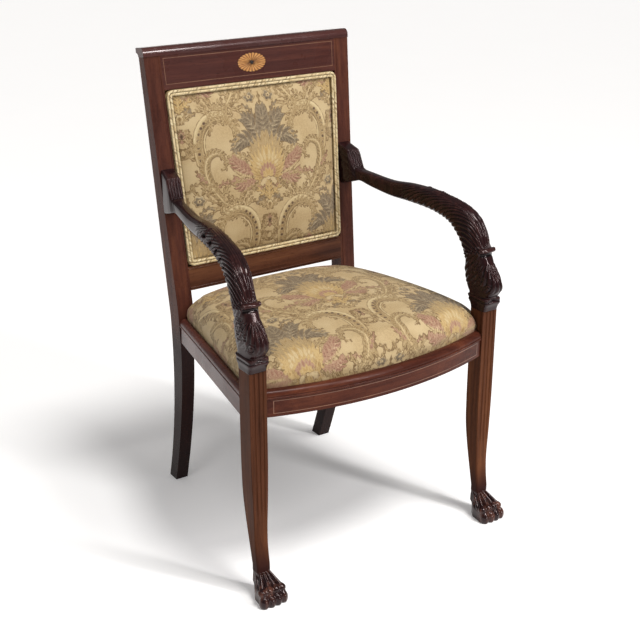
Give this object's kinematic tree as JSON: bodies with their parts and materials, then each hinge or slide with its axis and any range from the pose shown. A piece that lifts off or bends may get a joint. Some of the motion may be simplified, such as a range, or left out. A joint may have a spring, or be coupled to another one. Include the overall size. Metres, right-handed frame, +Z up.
{
  "type": "armchair",
  "caption": "Open armchair with carved scroll arms, lion-paw front legs, sabre back legs, bow-fronted padded seat and piped padded back in a polished wood frame",
  "frame": {"origin": "on the floor under the middle of the chair's bounding box", "axes": "+Z up, the sitter faces -Y, +X is on the right as seen by someone facing +Y"},
  "size_m": [0.5882, 0.5581, 0.965],
  "materials": {
    "mahogany": "french-polished mahogany, dark reddish brown",
    "carved_mahogany": "carved mahogany, polished near black",
    "secondary_wood": "plain planed hardwood",
    "satinwood": "inlaid satinwood, polished",
    "pale_stringing": "thin inlaid line, polished",
    "ebony": "inlaid black wood, polished",
    "steel": "plain steel screws",
    "webbing": "woven jute webbing",
    "padding": "upholstery padding",
    "brocade": "woven brocade with scrolls and leaves, satin ground",
    "piping": "double piping covered in the same cloth",
    "dust_cloth": "thin black cambric"
  },
  "bodies": {
    "root": {"front_leg_left": "mahogany", "front_leg_right": "mahogany", "rear_leg_left": "mahogany", "rear_leg_right": "mahogany", "arm_left": "carved_mahogany", "arm_right": "carved_mahogany", "crest_cap": "mahogany", "crest_panel": "mahogany", "lower_back_rail": "mahogany", "front_rail": "mahogany", "side_rail_left": "mahogany", "side_rail_right": "mahogany", "rear_rail": "mahogany", "corner_block_front_left": "secondary_wood", "corner_block_front_right": "secondary_wood", "corner_block_rear_left": "secondary_wood", "corner_block_rear_right": "secondary_wood", "corner_block_screws": "steel", "seat_screws": "steel", "arm_dowels": "secondary_wood", "arm_screws": "steel", "arm_screw_plugs": "mahogany", "cap_dowels": "secondary_wood", "patera_rays": "satinwood", "patera_dot": "ebony", "crest_stringing": "pale_stringing", "rail_stringing": "pale_stringing", "slip_frame_front": "secondary_wood", "slip_frame_rear": "secondary_wood", "slip_frame_left": "secondary_wood", "slip_frame_right": "secondary_wood", "seat_webbing": "webbing", "seat_foam": "padding", "seat_cover": "brocade", "seat_dust_cover": "dust_cloth", "back_board": "secondary_wood", "back_batten_left": "secondary_wood", "back_batten_right": "secondary_wood", "back_batten_top": "secondary_wood", "back_batten_bottom": "secondary_wood", "back_board_screws": "steel", "back_foam": "padding", "back_cover": "brocade", "back_piping_outer": "piping", "back_piping_inner": "piping", "outside_back": "brocade"}
  },
  "joints": []
}
